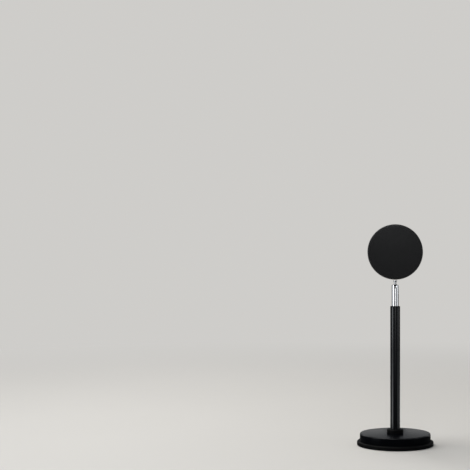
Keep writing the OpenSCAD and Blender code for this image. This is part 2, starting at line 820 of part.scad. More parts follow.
foot_pad();
base_tray();
counterweight();
base_cover();
tray_screws();
pole_bolt();
bolt_washer();
pole_foot_plug();
pole_tube();
pole_collar();
pole_top_cap();
socket_spigot();
ball_socket();
disc_springs();
ball_seat();
ball_stud();
stud_washer();
stud_nut();
head_barrel();
rear_cap();
driver_board();
driver_parts();
driver_screws();
heat_sink();
led_board();
led_chip();
led_screws();
led_leads();
lens_holder();
holder_screws();
condenser_lens();
aperture_ring();
colour_filter();
filter_retainer();
front_bezel();
lens_gasket();
front_lens();
lens_retainer();
cable_gland();
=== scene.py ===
import json
import math

import bmesh
import bpy
from bpy.props import FloatProperty, FloatVectorProperty, IntProperty, PointerProperty
from mathutils import Matrix, Vector


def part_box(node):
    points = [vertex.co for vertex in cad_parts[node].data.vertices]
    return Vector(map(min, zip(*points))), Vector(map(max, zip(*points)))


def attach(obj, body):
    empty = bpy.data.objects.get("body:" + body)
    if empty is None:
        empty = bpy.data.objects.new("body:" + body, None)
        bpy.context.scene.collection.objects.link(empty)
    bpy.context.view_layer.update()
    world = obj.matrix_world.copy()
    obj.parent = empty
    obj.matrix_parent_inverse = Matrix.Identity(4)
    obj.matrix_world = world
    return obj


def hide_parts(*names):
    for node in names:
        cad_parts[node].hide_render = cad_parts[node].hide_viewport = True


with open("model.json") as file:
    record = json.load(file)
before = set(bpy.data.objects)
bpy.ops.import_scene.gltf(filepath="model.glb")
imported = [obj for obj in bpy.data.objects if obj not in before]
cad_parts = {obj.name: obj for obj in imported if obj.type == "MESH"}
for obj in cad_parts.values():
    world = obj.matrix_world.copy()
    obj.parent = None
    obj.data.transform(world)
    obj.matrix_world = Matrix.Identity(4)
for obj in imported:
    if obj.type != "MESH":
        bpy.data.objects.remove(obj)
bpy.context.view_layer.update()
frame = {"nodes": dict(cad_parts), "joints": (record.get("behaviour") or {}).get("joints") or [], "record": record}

bl_info = {
    "name": "Sunset projection lamp",
    "version": (1, 0, 0),
    "blender": (4, 5, 0),
    "location": "3D View > Sidebar > Lamp",
    "description": "Builds the finished surfaces of a sunset projection lamp round its packed frame",
    "category": "Add Mesh",
}

MM = 0.001

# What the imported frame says, in millimetres: (lowest corner, highest corner) of each node
BOX = {name: [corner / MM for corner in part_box(name)] for name in frame["nodes"]}
PAD_R, PAD_TOP = BOX["foot_pad"][1].x, BOX["foot_pad"][1].z
TRAY_R, TRAY_Z, RING_TOP = BOX["base_tray"][1].x, BOX["base_tray"][0].z, BOX["base_tray"][1].z
COVER_R, RIM_Z, FOOT_TOP = BOX["base_cover"][1].x, BOX["base_cover"][0].z, BOX["base_cover"][1].z
POLE_R, POLE_TOP = BOX["pole_tube"][1].x, BOX["pole_tube"][1].z
COLLAR_R, COLLAR_TOP = BOX["pole_collar"][1].x, BOX["pole_collar"][1].z
CAP_TOP = BOX["pole_top_cap"][1].z
SOCKET_R = BOX["ball_socket"][1].x
SOCKET_Z, SOCKET_TOP = BOX["ball_socket"][0].z, BOX["ball_socket"][1].z
BALL_Z = [joint for joint in frame["joints"] if joint["name"] == "head_tilt"][0]["pos_m"][2] / MM
BALL_R = BALL_Z - BOX["ball_stud"][0].z
FLARE_R, STUD_TOP = BOX["ball_stud"][1].x, BOX["ball_stud"][1].z
HEAD_R = BOX["rear_cap"][1].x
HEAD_Z = (BOX["rear_cap"][0].z + BOX["rear_cap"][1].z) / 2
UNDERSIDE = HEAD_Z - HEAD_R
REAR_Y, BARREL_Y = BOX["rear_cap"][0].y, BOX["head_barrel"][0].y
BEZEL_IN_Y, BEZEL_Y, FRONT_Y = BOX["front_bezel"][0].y, BOX["head_barrel"][1].y, BOX["front_bezel"][1].y
LENS_R, LENS_Y, DOME_Y = BOX["front_lens"][1].x, BOX["front_lens"][0].y, BOX["front_lens"][1].y
GASKET_Y, GASKET_END = BOX["lens_gasket"][0].y, BOX["lens_gasket"][1].y
FILTER_R = BOX["colour_filter"][1].x
FILTER_Y, FILTER_END = BOX["colour_filter"][0].y, BOX["colour_filter"][1].y
GLAND_R = BOX["cable_gland"][1].x
GLAND_Y = (BOX["cable_gland"][0].y + BOX["cable_gland"][1].y) / 2
GLAND_Z, GLAND_TOP = BOX["cable_gland"][0].z, BOX["cable_gland"][1].z

# What several pieces share, in millimetres
BOLT_HOLE_R = 3.3                               # hole for the bolt that holds the pole
BOSS_TOP = 7.7                                  # where the cover rests on the tray's boss
NECK_R, STUD_R = 1.5, 2.0                       # thin neck over the ball, and the stud above it
BORE_R, REAR_BORE_R = HEAD_R - 3, HEAD_R - 2    # inside the barrel, and at its rear
WINDOW_R = BOX["lens_gasket"][1].x - 2.5        # clear opening in front of the lens
SEAM = 0.35                                     # rounding where two parts of the head meet
FINE_EDGE = 0.6                                 # smaller roundings get half of the edge steps
POLE_STEPS, JOINT_STEPS, SOCKET_STEPS = 96, 72, 64    # steps round the slim pieces
HOLE_STEPS = 64                                       # steps round a drilled hole

# Turns what is made about Z, in metres, to the head's axis, with height along +Y
ON_BEAM = Matrix.Translation((0, 0, HEAD_Z * MM)) @ Matrix.Rotation(-math.pi / 2, 4, "X")

FLOOR_R = 12                                    # metres
FADE_START, FADE_END = 0.25, 1.5                # where the floor fades out, metres from the lamp
WEAR_SPOT = 0.0025                              # size of the rubbed spots on an edge, metres

PALE = (1.0, 0.99, 0.97)
# Light panels: name, place, width and height in metres, power in watts, colour
PANELS = (
    ("left_panel", (-1.22, -0.58, 0.5), 0.7, 1.2, 8.5, (0.93, 0.97, 1.0)),
    ("right_panel", (1.33, -0.42, 0.5), 0.62, 1.2, 2.7, (0.95, 0.98, 1.0)),
    ("back_left_panel", (-0.60, 1.9, 0.28), 1.2, 0.18, 0.25, PALE),
    ("back_right_panel", (0.775, 1.9, 0.28), 1.6, 0.18, 0.33, PALE),
    ("lens_panel", (-0.75, 1.35, 0.95), 0.45, 0.65, 3.7, PALE),
    ("lens_strip", (1.0, 1.25, 0.55), 0.25, 0.9, 1.6, (0.96, 0.98, 1.0)),
    ("top_panel", (-0.5, 0.3, 1.7), 1.0, 1.0, 22, PALE),
    ("low_front_panel", (0.25, -2.3, 0.145), 1.0, 0.29, 1.17, (1.0, 1.0, 1.0)),
    ("front_panel", (-0.05, -2.3, 0.9), 0.75, 0.7, 1.8, (1.0, 1.0, 1.0)),
    ("brow_panel", (-0.1, -1.7, 1.05), 0.5, 0.5, 6.4, (0.96, 0.98, 1.0)))
PANEL_AIM = Vector((0, 0, 0.15))
ROOM_COLOUR = (0.9, 0.95, 1.0, 1)


class LampSizes(bpy.types.PropertyGroup):
    """Sizes of the roundings, rises and grooves that catch the light"""
    steps: IntProperty(
        name="Steps", description="Steps round a turned piece", default=192, min=48, max=256)
    edge_steps: IntProperty(
        name="Edge steps", description="Steps across a rounded edge", default=5, min=2, max=12)
    cover_edge: FloatProperty(
        name="Cover edge", description="Rounding of the cover's shoulder",
        default=1.2 * MM, min=0.5 * MM, max=3.0 * MM, unit="LENGTH")
    cover_crown: FloatProperty(
        name="Cover crown", description="Fall of the cover's top towards its shoulder",
        default=0.5 * MM, min=0.1 * MM, max=1.0 * MM, unit="LENGTH")
    tray_edge: FloatProperty(
        name="Tray edge", description="Rounding of the tray's upper edge",
        default=1.2 * MM, min=0.3 * MM, max=1.8 * MM, unit="LENGTH")
    collar_edge: FloatProperty(
        name="Collar edge", description="Rounding of the collar's upper edge",
        default=1.0 * MM, min=0.3 * MM, max=1.5 * MM, unit="LENGTH")
    head_edge: FloatProperty(
        name="Head edge", description="Rounding of the head's rear and front edges",
        default=1.5 * MM, min=0.5 * MM, max=2.5 * MM, unit="LENGTH")
    head_crown: FloatProperty(
        name="Head crown", description="Rise of the rear cap's face at its middle",
        default=1.0 * MM, min=0.1 * MM, max=1.5 * MM, unit="LENGTH")
    groove_depth: FloatProperty(
        name="Groove depth", description="Depth of the barrel's cooling grooves",
        default=0.9 * MM, min=0.3 * MM, max=1.2 * MM, unit="LENGTH")
    broken_edge: FloatProperty(
        name="Broken edge", description="Small rounding of every machined edge",
        default=0.15 * MM, min=0.05 * MM, max=0.3 * MM, unit="LENGTH")


class LampColours(bpy.types.PropertyGroup):
    """Colours of the lamp's finishes and the strength of its light"""
    coat: FloatVectorProperty(
        name="Head coat", description="Fine powder coat of the head",
        default=(0.003, 0.003, 0.0034), subtype="COLOR", min=0, max=1)
    paint: FloatVectorProperty(
        name="Stand paint", description="Satin paint of the pole and the cover",
        default=(0.0015, 0.0018, 0.0026), subtype="COLOR", min=0, max=1)
    chrome: FloatVectorProperty(
        name="Chrome", description="Plating of the ball joint",
        default=(0.86, 0.86, 0.87), subtype="COLOR", min=0, max=1)
    sunset_core: FloatVectorProperty(
        name="Sunset core", description="Filter colour at its centre",
        default=(1.0, 0.45, 0.08), subtype="COLOR", min=0, max=1)
    sunset_rim: FloatVectorProperty(
        name="Sunset rim", description="Filter colour at its rim",
        default=(0.85, 0.08, 0.004), subtype="COLOR", min=0, max=1)
    glow: FloatProperty(
        name="Glow", description="Strength of the lit filter", default=4.5, min=0, max=20)
    coating: FloatProperty(
        name="Lens coating", description="Thickness of the lens coating in nanometres",
        default=340.0, min=0, max=1000)


class StageSettings(bpy.types.PropertyGroup):
    """Floor, camera and studio light"""
    floor: FloatVectorProperty(
        name="Floor", description="Colour of the plain floor",
        default=(0.62, 0.60, 0.57), subtype="COLOR", min=0, max=1)
    backdrop: FloatVectorProperty(
        name="Backdrop", description="Colour of the backdrop behind the floor",
        default=(0.62, 0.61, 0.59), subtype="COLOR", min=0, max=1)
    camera_place: FloatVectorProperty(
        name="Camera place", description="Where the camera stands",
        default=(0, -1.503, 0.2557), subtype="TRANSLATION", unit="LENGTH")
    camera_turn: FloatProperty(
        name="Camera turn", description="Turn of the level camera away from the lamp",
        default=math.radians(3.74), unit="ROTATION")
    lens: FloatProperty(
        name="Lens", description="Focal length of the camera",
        default=94.29, min=20, max=200, unit="CAMERA")
    shift: FloatProperty(
        name="Shift", description="Sideways shift that keeps the foot's ellipse level",
        default=-0.1696, min=-0.3, max=0.3)
    daylight: FloatProperty(
        name="Room light", description="Strength of the room's soft light", default=0.15, min=0, max=5)
    key: FloatProperty(
        name="Panel light", description="Power of the light panels", default=1.0, min=0, max=10)


# ---------------------------------------------------------------- finishes

def add_node(tree, kind, inputs=None, **settings):
    """Adds a shader node; an input is given as a value or as the socket that feeds it"""
    made = tree.nodes.new(kind)
    for key, value in settings.items():
        setattr(made, key, value)
    for key, value in (inputs or {}).items():
        if isinstance(value, bpy.types.NodeSocket):
            tree.links.new(value, made.inputs[key])
        else:
            made.inputs[key].default_value = value
    return made


def new_finish(name):
    """An empty material with its shader, and the object's coordinates"""
    made = bpy.data.materials.new(name)
    made.use_nodes = True
    tree = made.node_tree
    shader = tree.nodes["Principled BSDF"]
    place = tree.nodes.new("ShaderNodeTexCoord").outputs["Object"]
    return made, tree, shader, place


def grain(tree, place, size, stretch=(1, 1, 1), detail=3.0):
    """Noise whose features are about size metres across"""
    mapped = add_node(tree, "ShaderNodeMapping", {"Vector": place, "Scale": stretch})
    return add_node(tree, "ShaderNodeTexNoise", {
        "Vector": mapped.outputs["Vector"], "Scale": 0.5 / size, "Detail": detail,
        "Roughness": 0.55}).outputs["Fac"]


def spread(tree, value, low, high, start=0.3, end=0.7, **settings):
    """Maps start..end, at first the middle of a noise, to low..high"""
    return add_node(tree, "ShaderNodeMapRange", {
        "Value": value, "From Min": start, "From Max": end, "To Min": low, "To Max": high},
        **settings).outputs["Result"]


def blend(tree, factor, first, second):
    """Mixes two colours"""
    mixed = tree.nodes.new("ShaderNodeMix")
    mixed.data_type = "RGBA"
    for index, value in ((0, factor), (6, first), (7, second)):
        if isinstance(value, bpy.types.NodeSocket):
            tree.links.new(value, mixed.inputs[index])
        else:
            mixed.inputs[index].default_value = value if index == 0 else (*value[:3], 1)
    return mixed.outputs[2]


def mix_shaders(tree, factor, first, second):
    """Mixes two shaders"""
    return add_node(tree, "ShaderNodeMixShader", {0: factor, 1: first, 2: second}).outputs[0]


def bump(tree, shader, height, depth):
    """Raises the surface by up to depth metres"""
    made = add_node(tree, "ShaderNodeBump", {"Height": height, "Distance": depth, "Strength": 1.0})
    tree.links.new(made.outputs["Normal"], shader.inputs["Normal"])


def ramp(tree, factor, stops):
    """Colour ramp from (position, colour) stops"""
    made = add_node(tree, "ShaderNodeValToRGB", {"Fac": factor})
    elements = made.color_ramp.elements
    while len(elements) < len(stops):
        elements.new(0.5)
    for element, (position, colour) in zip(elements, stops):
        element.position = position
        element.color = (*colour[:3], 1)
    return made.outputs["Color"]


def surface(name, colour, rough, grain_size, depth, patch=0.02, uneven=0.05, worn=None,
            stretch=(1, 1, 1), **constants):
    """A finish with fine grain, patchy gloss, a slight change of colour and rubbed edges"""
    made, tree, shader, place = new_finish(name)
    for key, value in constants.items():
        shader.inputs[key.replace("_", " ")].default_value = value
    fine = grain(tree, place, grain_size, stretch)
    broad = grain(tree, place, patch, detail=2.0)
    darker = [channel * (1 - uneven) for channel in colour[:3]]
    lighter = [min(1, channel * (1 + uneven)) for channel in colour[:3]]
    tone = blend(tree, spread(tree, broad, 0, 1), darker, lighter)
    if worn:
        edge = add_node(tree, "ShaderNodeAttribute", attribute_name="worn").outputs["Fac"]
        broken = spread(tree, grain(tree, place, WEAR_SPOT, detail=4.0), 0.25, 1.0, 0.35, 0.65)
        rubbed = add_node(tree, "ShaderNodeMath", {0: edge, 1: broken}, operation="MULTIPLY").outputs[0]
        tone = blend(tree, rubbed, tone, worn)
    tree.links.new(tone, shader.inputs["Base Color"])
    gloss = spread(tree, broad, rough * (1 - uneven), rough * (1 + uneven))
    tree.links.new(gloss, shader.inputs["Roughness"])
    bump(tree, shader, fine, depth)
    return made


def board_finish(name, lacquer, copper):
    """Circuit board: lacquer with tracks that show through it"""
    made, tree, shader, place = new_finish(name)
    tracks = add_node(tree, "ShaderNodeTexBrick", {
        "Vector": place, "Scale": 1.0, "Mortar Size": 0.0003, "Mortar Smooth": 0.2,
        "Brick Width": 0.009, "Row Height": 0.0032}, offset=0.37, squash=1.0).outputs["Fac"]
    tree.links.new(blend(tree, tracks, lacquer, copper), shader.inputs["Base Color"])
    tree.links.new(spread(tree, grain(tree, place, 0.004), 0.3, 0.45), shader.inputs["Roughness"])
    bump(tree, shader, tracks, 0.00003)
    return made


def clear_glass(name, tint, ior, coating):
    """Polished glass with a coating that colours its reflections, and faint wipe marks"""
    made, tree, shader, place = new_finish(name)
    shader.inputs["Transmission Weight"].default_value = 1.0
    shader.inputs["IOR"].default_value = ior
    shader.inputs["Thin Film Thickness"].default_value = coating
    shader.inputs["Thin Film IOR"].default_value = 1.38
    marks = grain(tree, place, 0.012, (1, 1, 3), 4.0)
    tree.links.new(blend(tree, spread(tree, marks, 0, 1), (1, 1, 1), tint), shader.inputs["Base Color"])
    tree.links.new(spread(tree, marks, 0.0, 0.035, 0.5, 0.75), shader.inputs["Roughness"])
    return made


def lit_finish(made, tree, shader, tone, strength, rough):
    """Lets a surface shine in its own colour"""
    tree.links.new(tone, shader.inputs["Base Color"])
    tree.links.new(tone, shader.inputs["Emission Color"])
    shader.inputs["Emission Strength"].default_value = strength
    shader.inputs["Roughness"].default_value = rough
    return made


def sunset_glass(colours):
    """Lit colour filter: yellow orange at its centre, deep red at its rim"""
    made, tree, shader, place = new_finish("sunset_glass")
    disc_r = FILTER_R * 0.8
    flat = add_node(tree, "ShaderNodeMapping", {
        "Vector": place, "Location": (0, 0, -HEAD_Z / disc_r),
        "Scale": (1 / (disc_r * MM), 0, 1 / (disc_r * MM))}).outputs["Vector"]
    reach = add_node(tree, "ShaderNodeVectorMath", {0: flat}, operation="LENGTH").outputs["Value"]
    orange, dusk = (1.0, 0.26, 0.02), (0.3, 0.012, 0.001)
    tone = ramp(tree, reach, [
        (0.0, colours.sunset_core), (0.35, orange), (0.75, colours.sunset_rim), (1.0, dusk)])
    return lit_finish(made, tree, shader, tone, colours.glow, 0.12)


def lit_phosphor(colours):
    """Yellow phosphor of the LED, with its rows of dies, lit"""
    made, tree, shader, place = new_finish("led_phosphor")
    dots = add_node(tree, "ShaderNodeTexVoronoi", {"Vector": place, "Scale": 900.0, "Randomness": 0.0})
    tone = ramp(tree, dots.outputs["Distance"], [(0.0, (1.0, 0.86, 0.35)), (0.6, (0.85, 0.5, 0.06))])
    return lit_finish(made, tree, shader, tone, colours.glow * 3, 0.35)


def make_finishes(colours):
    """Every finish of the lamp, by the record's material slot or the piece it is for"""
    coat, paint = colours.coat, colours.paint
    rubbed, rubbed_plastic, bright = (0.02, 0.02, 0.021), (0.006, 0.006, 0.006), (0.92, 0.92, 0.93)
    dull_black = (0.012, 0.012, 0.012)
    # name, colour, roughness, size of the grain and its depth in metres
    return {
        "head_coat": surface("head_powder_coat", coat, 0.42, 0.0004, 0.00003, worn=rubbed,
                             Specular_IOR_Level=0.25),
        "paint": surface("stand_satin_paint", paint, 0.18, 0.0011, 0.0000015, worn=rubbed,
                         Specular_IOR_Level=0.35, Coat_Weight=0.2, Coat_Roughness=0.08),
        "cover_paint": surface("cover_satin_paint", paint, 0.17, 0.0011, 0.0000015, worn=rubbed,
                               Specular_IOR_Level=0.09),
        "moulded": surface("moulded_black", (0.003, 0.003, 0.0032), 0.55, 0.0005, 0.00001,
                           worn=rubbed_plastic, Specular_IOR_Level=0.05),
        "pad_rubber": surface("pad_rubber", dull_black, 0.85, 0.0006, 0.00012, Specular_IOR_Level=0.3),
        "black_plastic": surface("inner_black", dull_black, 0.7, 0.0006, 0.00003,
                                 Specular_IOR_Level=0.3),
        "chrome": surface("polished_chrome", colours.chrome, 0.09, 0.0006, 0.0000001, patch=0.006,
                          worn=bright, Metallic=1.0),
        "steel": surface("zinc_steel", (0.56, 0.57, 0.58), 0.3, 0.0004, 0.00001,
                         stretch=(1, 1, 6), Metallic=1.0),
        "bare_alloy": surface("bare_aluminium", (0.72, 0.73, 0.75), 0.34, 0.0003, 0.00002,
                              stretch=(8, 1, 1), Metallic=1.0),
        "iron": surface("cast_iron", (0.11, 0.11, 0.115), 0.7, 0.0012, 0.0002, patch=0.006,
                        uneven=0.25, Metallic=0.8),
        "brass": surface("turned_brass", (0.72, 0.5, 0.2), 0.28, 0.0003, 0.00001,
                         stretch=(1, 1, 8), Metallic=1.0),
        "nylon": surface("white_nylon", (0.8, 0.79, 0.72), 0.45, 0.0008, 0.00002,
                         Subsurface_Weight=0.1, Subsurface_Scale=0.002),
        "green_board": board_finish("driver_lacquer", (0.012, 0.12, 0.05), (0.03, 0.2, 0.09)),
        "white_board": board_finish("led_lacquer", (0.82, 0.82, 0.8), (0.7, 0.7, 0.66)),
        "dark_parts": surface("component_black", (0.03, 0.03, 0.033), 0.55, 0.0003, 0.00002),
        "lead_sleeve": surface("lead_sleeve", (0.42, 0.02, 0.015), 0.4, 0.001, 0.00001),
        "clear_glass": clear_glass("lens_glass", (0.93, 0.98, 0.97), 1.52, colours.coating),
        "amber_glass": sunset_glass(colours),
        "phosphor": lit_phosphor(colours),
    }


FINISHES = {}


def finish_of(name):
    """The finish of that name; all of them are made when the first is asked for"""
    if not FINISHES:
        FINISHES.update(make_finishes(bpy.context.scene.lamp_colours))
    return FINISHES[name]


# ---------------------------------------------------------------- shapes

def new_shape():
    """An empty mesh whose vertices can be marked as worn"""
    bm = bmesh.new()
    bm.verts.layers.float.new("worn")
    return bm


def sphere_of(radius, rise):
    """Radius of the sphere that rises so much over a circle"""
    return (radius ** 2 + rise ** 2) / (2 * rise)


def wire_dome(bm, apex, sphere, reach, steps):
    """Draws an arc of a sphere from the axis at height apex, and returns its end"""
    start = bm.verts.new((0, 0, apex * MM))
    arc = bmesh.ops.spin(bm, geom=[start], cent=(0, 0, (apex - sphere) * MM), axis=(0, 1, 0),
                         dvec=(0, 0, 0), angle=reach, steps=steps)
    return [item for item in arc["geom_last"] if isinstance(item, bmesh.types.BMVert)][0]


def wire_outline(bm, corners, closed, segments, start=None):
    """Draws an outline of (radius, height, rounding) corners in millimetres, and rounds its corners"""
    worn = bm.verts.layers.float["worn"]
    points = [bm.verts.new((corner[0] * MM, 0, corner[1] * MM)) for corner in corners]
    for pair in zip(points, points[1:] + points[:1] if closed else points[1:]):
        bm.edges.new(pair)
    if start:
        bm.edges.new((start, points[0]))
    for point, corner in zip(points, corners):
        if len(corner) > 2:
            steps = segments if corner[2] > FINE_EDGE else max(2, segments // 2)
            arc = bmesh.ops.bevel(bm, geom=[point], offset=corner[2] * MM, offset_type="OFFSET",
                                  segments=steps, profile=0.5, affect="VERTICES", material=-1,
                                  clamp_overlap=False)
            for inner in arc["verts"]:
                inner[worn] = float(all(edge in arc["edges"] for edge in inner.link_edges))


def turn(bm, steps):
    """Spins everything drawn so far once round Z and closes the poles"""
    bmesh.ops.spin(bm, geom=bm.verts[:] + bm.edges[:], cent=(0, 0, 0), axis=(0, 0, 1),
                   dvec=(0, 0, 0), angle=math.tau, steps=steps, use_merge=True)
    bmesh.ops.remove_doubles(bm, verts=bm.verts, dist=1e-7)
    bmesh.ops.recalc_face_normals(bm, faces=bm.faces)


def turned(corners, sizes, closed=True, steps=None):
    """A turned body from its outline"""
    bm = new_shape()
    wire_outline(bm, corners, closed, sizes.edge_steps)
    turn(bm, steps or sizes.steps)
    return bm


def lay_on_beam(bm):
    """Turns a body that was made about Z to the head's axis"""
    bmesh.ops.transform(bm, matrix=ON_BEAM, verts=bm.verts)
    return bm


def rod(radius, low, high, y=0):
    """A plain upright cylinder for cutting holes, in millimetres"""
    bm = bmesh.new()
    bmesh.ops.create_cone(bm, cap_ends=True, segments=HOLE_STEPS, radius1=radius * MM, radius2=radius * MM,
                          depth=(high - low) * MM)
    bmesh.ops.translate(bm, verts=bm.verts, vec=Vector((0, y, (low + high) / 2)) * MM)
    return bm


def add_mesh(name, bm):
    """Makes an object of a body"""
    mesh = bpy.data.meshes.new(name)
    bm.to_mesh(mesh)
    bm.free()
    made = bpy.data.objects.new(name, mesh)
    bpy.context.scene.collection.objects.link(made)
    return made


def cut_away(piece, *cutters):
    """Cuts each cutter's shape out of a piece for good"""
    for bm in cutters:
        cutter = add_mesh("cutter", bm)
        tool = piece.modifiers.new("cut", "BOOLEAN")
        tool.operation, tool.solver, tool.object = "DIFFERENCE", "EXACT", cutter
        with bpy.context.temp_override(object=piece, active_object=piece):
            bpy.ops.object.modifier_apply(modifier=tool.name)
        bpy.data.objects.remove(cutter)


def dress(piece, finish, body, slot, *nodes, sharp=38):
    """Gives a piece its finish and shading, puts it on the body it rides on, and hides the nodes it stands for"""
    mesh = piece.data
    mesh.materials.clear()
    mesh.materials.append(finish_of(finish))
    mesh.shade_smooth()
    mesh.set_sharp_from_angle(angle=math.radians(sharp))
    even = piece.modifiers.new("even shading", "WEIGHTED_NORMAL")
    even.keep_sharp = True
    even.weight = 100
    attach(piece, body)
    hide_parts(*nodes)


# ---------------------------------------------------------------- operators

class LAMP_OT_stage(bpy.types.Operator):
    """Sets up the camera, the floor and the studio light"""
    bl_idname = "lamp.stage"
    bl_label = "Camera, floor and light"

    def execute(self, context):
        stage = context.scene.stage_settings
        context.scene.view_settings.view_transform = "Standard"
        self.add_camera(context, stage)
        self.add_floor(stage)
        self.add_room(context, stage)
        self.add_panels(context, stage)
        return {"FINISHED"}

    def add_camera(self, context, stage):
        """Level camera behind the lamp's head"""
        camera = bpy.data.objects.new("camera", bpy.data.cameras.new("camera"))
        context.scene.collection.objects.link(camera)
        camera.location = stage.camera_place
        camera.rotation_euler = (math.radians(90), 0, stage.camera_turn)
        camera.data.lens = stage.lens
        camera.data.shift_x = stage.shift
        camera.data.sensor_width = 36
        camera.data.clip_start = 0.02
        context.scene.camera = camera

    def add_floor(self, stage):
        """Plain round floor"""
        bm = bmesh.new()
        bmesh.ops.create_circle(bm, cap_ends=True, segments=96, radius=FLOOR_R)
        floor = add_mesh("floor", bm)
        floor.data.materials.append(self.floor_finish(stage))

    def floor_finish(self, stage):
        """Matt floor that fades into the backdrop; in reflections it fades into the dim room"""
        made = surface("plain_floor", stage.floor, 0.75, 0.002, 0.00002, patch=0.3, uneven=0.015,
                       Specular_IOR_Level=0.2)
        tree = made.node_tree
        place = tree.nodes.new("ShaderNodeTexCoord").outputs["Object"]
        reach = add_node(tree, "ShaderNodeVectorMath", {0: place}, operation="LENGTH").outputs["Value"]
        outward = add_node(tree, "ShaderNodeVectorMath", {0: place}, operation="NORMALIZE")
        ahead = add_node(tree, "ShaderNodeSeparateXYZ", {0: outward.outputs["Vector"]}).outputs["Y"]
        far = spread(tree, reach, 0, 1, FADE_START, FADE_END, interpolation_type="SMOOTHSTEP")
        backdrop = add_node(tree, "ShaderNodeEmission", {"Color": (*stage.backdrop, 1), "Strength": 1.0})
        seen = mix_shaders(tree, far, tree.nodes["Principled BSDF"].outputs[0], backdrop.outputs[0])
        dim_ahead = 0.015
        strength = spread(tree, ahead, stage.daylight, dim_ahead, 0.45, 0.75)
        dim = add_node(tree, "ShaderNodeEmission", {"Color": ROOM_COLOUR, "Strength": strength})
        mirrored = mix_shaders(tree, far, self.painted_floor_reflection(tree, reach, ahead, stage), dim.outputs[0])
        # painted reflection: the camera sees the pale floor, the lamp's reflections see the painted dark and
        # polished floor
        camera = add_node(tree, "ShaderNodeLightPath").outputs["Is Camera Ray"]
        tree.links.new(mix_shaders(tree, camera, mirrored, seen),
                       tree.nodes["Material Output"].inputs["Surface"])
        return made

    def painted_floor_reflection(self, tree, reach, ahead, stage):
        """How the lamp sees the floor, all painted reflection that the camera never sees: pale from above; at a
        low angle painted dark near the foot and in front of it, and polished elsewhere"""
        pale = add_node(tree, "ShaderNodeBsdfDiffuse", {"Color": (*stage.floor, 1)})
        # painted shade: a dark floor that only the lamp's reflections see
        dark = add_node(tree, "ShaderNodeBsdfDiffuse", {"Color": (0.04, 0.04, 0.04, 1)})
        # painted reflection: a glossy floor that only the lamp's reflections see
        polish = add_node(tree, "ShaderNodeBsdfGlossy", {"Color": (0.85, 0.85, 0.85, 1), "Roughness": 0.12})
        aside = spread(tree, ahead, 0, 1, -0.9, -0.7)
        clear = spread(tree, reach, 0, 1, 0.13, 0.17)
        where = add_node(tree, "ShaderNodeMath", {0: aside, 1: clear}, operation="MULTIPLY").outputs[0]
        low = mix_shaders(tree, where, dark.outputs[0], polish.outputs[0])
        facing = add_node(tree, "ShaderNodeLayerWeight", {"Blend": 0.5}).outputs["Facing"]
        return mix_shaders(tree, spread(tree, facing, 0, 1, 0.45, 0.75), pale.outputs[0], low)

    def add_room(self, context, stage):
        """Backdrop for the camera, and a dim room that lights the lamp"""
        world = bpy.data.worlds.new("studio")
        context.scene.world = world
        world.use_nodes = True
        tree = world.node_tree
        tree.nodes.clear()
        camera = add_node(tree, "ShaderNodeLightPath").outputs["Is Camera Ray"]
        room = add_node(tree, "ShaderNodeBackground", {"Color": ROOM_COLOUR, "Strength": stage.daylight})
        backdrop = add_node(tree, "ShaderNodeBackground", {"Color": (*stage.backdrop, 1), "Strength": 1.0})
        add_node(tree, "ShaderNodeOutputWorld", {
            "Surface": mix_shaders(tree, camera, room.outputs[0], backdrop.outputs[0])})

    def add_panels(self, context, stage):
        """Soft light panels, aimed at the lamp and hidden from the camera"""
        for name, place, width, height, power, colour in PANELS:
            light = bpy.data.lights.new(name, "AREA")
            light.shape = "RECTANGLE"
            light.size, light.size_y = width, height
            light.energy = power * stage.key
            light.color = colour
            panel = bpy.data.objects.new(name, light)
            context.scene.collection.objects.link(panel)
            panel.location = place
            panel.rotation_euler = (PANEL_AIM - Vector(place)).to_track_quat("-Z", "Y").to_euler()
            panel.visible_camera = False


class LAMP_OT_hidden_parts(bpy.types.Operator):
    """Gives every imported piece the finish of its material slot"""
    bl_idname = "lamp.hidden_parts"
    bl_label = "Finish the packed pieces"

    def execute(self, context):
        shown_as = {"black_paint": "paint", "black_alloy": "head_coat"}
        for part in frame["record"]["subparts"]:
            slot = part["material_slot"]
            mesh = frame["nodes"][part["node"]].data
            mesh.materials.clear()
            mesh.materials.append(finish_of(shown_as.get(slot, slot)))
        return {"FINISHED"}


